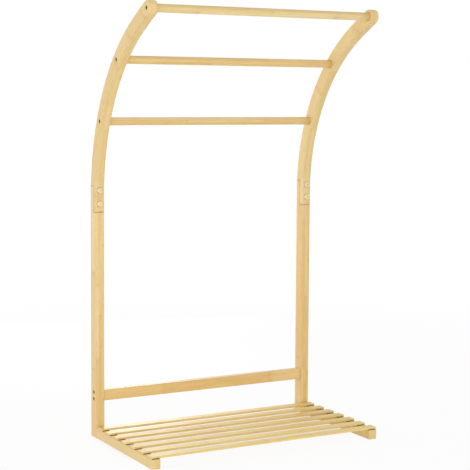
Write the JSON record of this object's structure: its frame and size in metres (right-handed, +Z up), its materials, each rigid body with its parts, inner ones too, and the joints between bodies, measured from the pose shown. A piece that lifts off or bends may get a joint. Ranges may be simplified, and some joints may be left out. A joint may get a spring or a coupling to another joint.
{
  "type": "towel rack with shelf",
  "caption": "Free-standing bamboo towel rack with forward-curving arms, round towel rails, a low cross stretcher and a slatted shelf on foot rails.",
  "frame": {"origin": "on the floor, under the middle of the rack's outline", "axes": "+X along the rails to the right as seen from the front, +Y from the shelf's front edge to the posts, +Z up"},
  "size_m": [0.5, 0.29, 0.8606],
  "materials": {
    "bamboo_frame": "clear satin lacquer over laminated bamboo strips",
    "bamboo_rail": "clear satin lacquer over turned bamboo",
    "bamboo_stretcher": "clear satin lacquer, warmer bamboo",
    "bamboo_slat": "clear satin lacquer, pale bamboo",
    "dowel_wood": "bare hardwood",
    "zinc_steel": "zinc plated",
    "dark_steel": "dark phosphate",
    "brad_steel": "bright wire"
  },
  "bodies": {
    "root": {"left_lower_post": "bamboo_frame", "right_lower_post": "bamboo_frame", "left_curved_arm": "bamboo_frame", "right_curved_arm": "bamboo_frame", "left_foot_rail": "bamboo_frame", "right_foot_rail": "bamboo_frame", "lower_towel_rail": "bamboo_rail", "middle_towel_rail": "bamboo_rail", "top_towel_rail": "bamboo_rail", "cross_stretcher": "bamboo_stretcher", "shelf_slat_1": "bamboo_slat", "shelf_slat_2": "bamboo_slat", "shelf_slat_3": "bamboo_slat", "shelf_slat_4": "bamboo_slat", "shelf_slat_5": "bamboo_slat", "shelf_slat_6": "bamboo_slat", "shelf_slat_7": "bamboo_slat", "left_lower_lap_bolt": "zinc_steel", "left_upper_lap_bolt": "zinc_steel", "right_lower_lap_bolt": "zinc_steel", "right_upper_lap_bolt": "zinc_steel", "left_lower_insert_nut": "zinc_steel", "left_upper_insert_nut": "zinc_steel", "right_lower_insert_nut": "zinc_steel", "right_upper_insert_nut": "zinc_steel", "left_lower_rail_screw": "dark_steel", "left_middle_rail_screw": "dark_steel", "left_top_rail_screw": "dark_steel", "right_lower_rail_screw": "dark_steel", "right_middle_rail_screw": "dark_steel", "right_top_rail_screw": "dark_steel", "left_lower_stretcher_screw": "dark_steel", "left_upper_stretcher_screw": "dark_steel", "right_lower_stretcher_screw": "dark_steel", "right_upper_stretcher_screw": "dark_steel", "left_foot_screw": "dark_steel", "right_foot_screw": "dark_steel", "left_foot_dowel": "dowel_wood", "right_foot_dowel": "dowel_wood", "left_slat_1_brad": "brad_steel", "left_slat_2_brad": "brad_steel", "left_slat_3_brad": "brad_steel", "left_slat_4_brad": "brad_steel", "left_slat_5_brad": "brad_steel", "left_slat_6_brad": "brad_steel", "left_slat_7_brad": "brad_steel", "right_slat_1_brad": "brad_steel", "right_slat_2_brad": "brad_steel", "right_slat_3_brad": "brad_steel", "right_slat_4_brad": "brad_steel", "right_slat_5_brad": "brad_steel", "right_slat_6_brad": "brad_steel", "right_slat_7_brad": "brad_steel"}
  },
  "joints": []
}
